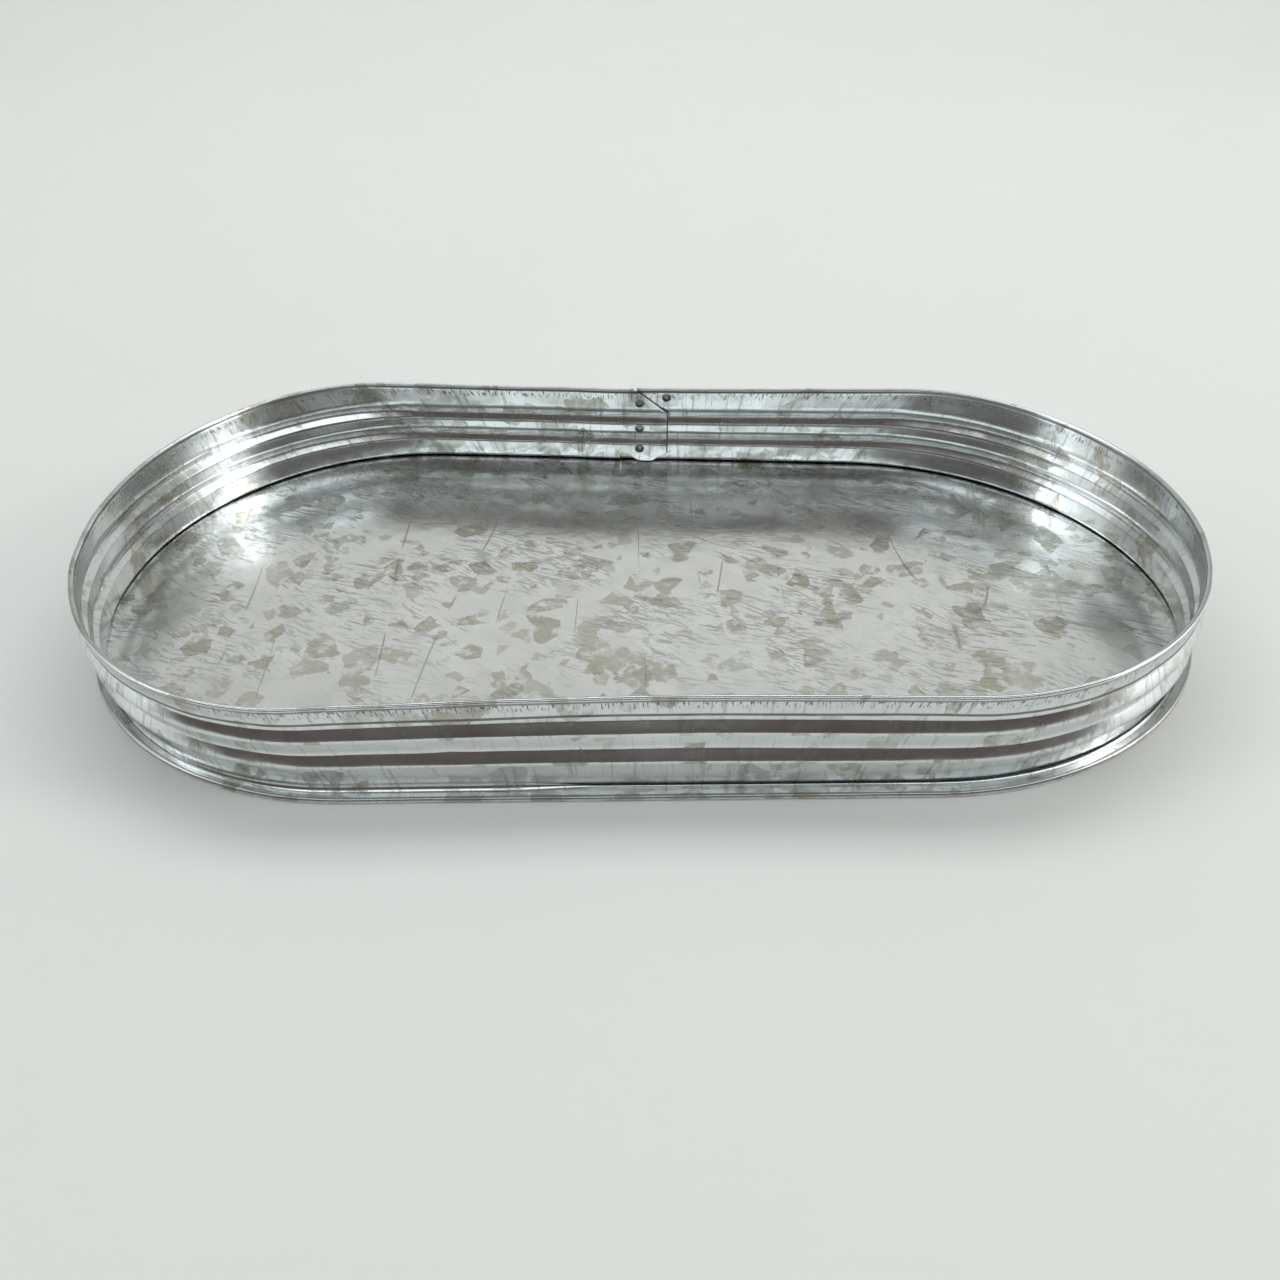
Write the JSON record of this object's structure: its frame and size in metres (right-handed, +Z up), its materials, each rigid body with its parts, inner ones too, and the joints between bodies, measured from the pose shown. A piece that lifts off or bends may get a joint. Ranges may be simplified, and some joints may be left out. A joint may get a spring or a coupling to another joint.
{
  "type": "livestock water trough",
  "caption": "Small oval galvanised sheet-steel water trough: low beaded wall strip with a folded hem, closed by a spot-welded lap, its foot crimped into a flat base pan.",
  "frame": {"origin": "centre of the base pan's underside, on the surface that the trough stands on", "axes": "+X along the trough towards its slightly narrower end, +Y towards the wall's lap seam, +Z up"},
  "size_m": [0.4562, 0.2562, 0.0453],
  "materials": {
    "galvanised_wall": "hot-dip galvanised sheet, semi-bright, cloudy spangle, light vertical streaks",
    "galvanised_pan": "hot-dip galvanised sheet, semi-bright, patchy spangle with fine scratches",
    "weld_metal": "dull grey resistance-weld mark with the zinc burnt off"
  },
  "bodies": {
    "root": {"wall_band": "galvanised_wall", "base_pan": "galvanised_pan", "seam_spot_weld_1": "weld_metal", "seam_spot_weld_2": "weld_metal", "seam_spot_weld_3": "weld_metal", "seam_spot_weld_4": "weld_metal"}
  },
  "joints": []
}
